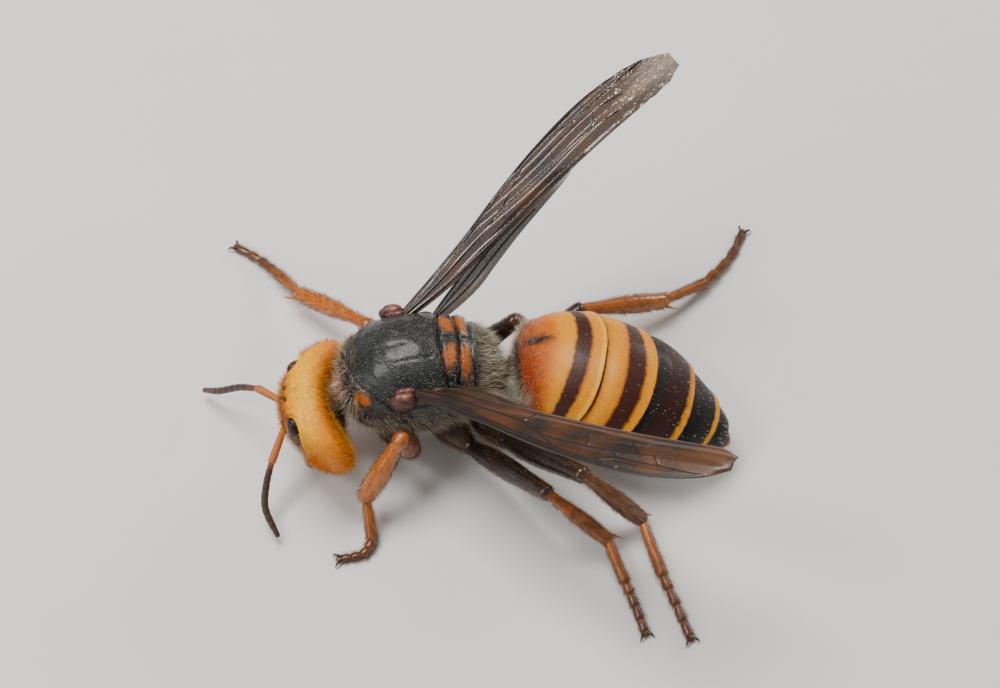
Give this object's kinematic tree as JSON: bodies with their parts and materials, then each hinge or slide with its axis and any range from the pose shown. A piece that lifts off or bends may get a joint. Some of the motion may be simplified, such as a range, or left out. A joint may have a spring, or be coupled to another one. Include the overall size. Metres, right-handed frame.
{
  "type": "asian giant hornet",
  "caption": "Life-size still model of an Asian giant hornet standing on six feet with both wings raised off its banded abdomen, for display and nature scenes.",
  "frame": {"origin": "on the floor, under the centre of the bounding box", "axes": "head towards -X, tail towards +X, the hornet's right side towards +Y, up +Z"},
  "size_m": [0.0551, 0.0474, 0.0295],
  "materials": {
    "head_shell": "satin orange shell under fine short hair",
    "thorax_shell": "black shell, dull, with a thin grey bloom of hair",
    "gaster_shell": "smooth shell with orange, red-brown and black bands",
    "leg_shell": "orange-brown shell with bristles",
    "antenna": "orange-red base, dark brown lash",
    "eye": "glossy, near black",
    "wing": "smoky amber film with dark veins",
    "hair": "fine golden-brown hair"
  },
  "bodies": {
    "root": {"thorax": "thorax_shell", "head": "head_shell", "eye_left": "eye", "mandible_left": "head_shell", "antenna_left_scape": "antenna", "antenna_left_flagellum": "antenna", "tegula_left": "leg_shell", "forewing_left": "wing", "hindwing_left": "wing", "eye_right": "eye", "mandible_right": "head_shell", "antenna_right_scape": "antenna", "antenna_right_flagellum": "antenna", "tegula_right": "leg_shell", "forewing_right": "wing", "hindwing_right": "wing", "leg_left_front_femur": "thorax_shell", "leg_left_front_tibia": "leg_shell", "leg_left_front_tarsus": "leg_shell", "leg_left_middle_femur": "thorax_shell", "leg_left_middle_tibia": "leg_shell", "leg_left_middle_tarsus": "leg_shell", "leg_left_hind_femur": "thorax_shell", "leg_left_hind_tibia": "leg_shell", "leg_left_hind_tarsus": "leg_shell", "leg_right_front_femur": "thorax_shell", "leg_right_front_tibia": "leg_shell", "leg_right_front_tarsus": "leg_shell", "leg_right_middle_femur": "thorax_shell", "leg_right_middle_tibia": "leg_shell", "leg_right_middle_tarsus": "leg_shell", "leg_right_hind_femur": "thorax_shell", "leg_right_hind_tibia": "leg_shell", "leg_right_hind_tarsus": "leg_shell", "gaster_1": "gaster_shell", "gaster_2": "gaster_shell", "gaster_3": "gaster_shell", "gaster_4": "gaster_shell", "gaster_5": "gaster_shell", "gaster_6": "gaster_shell"}
  },
  "joints": []
}
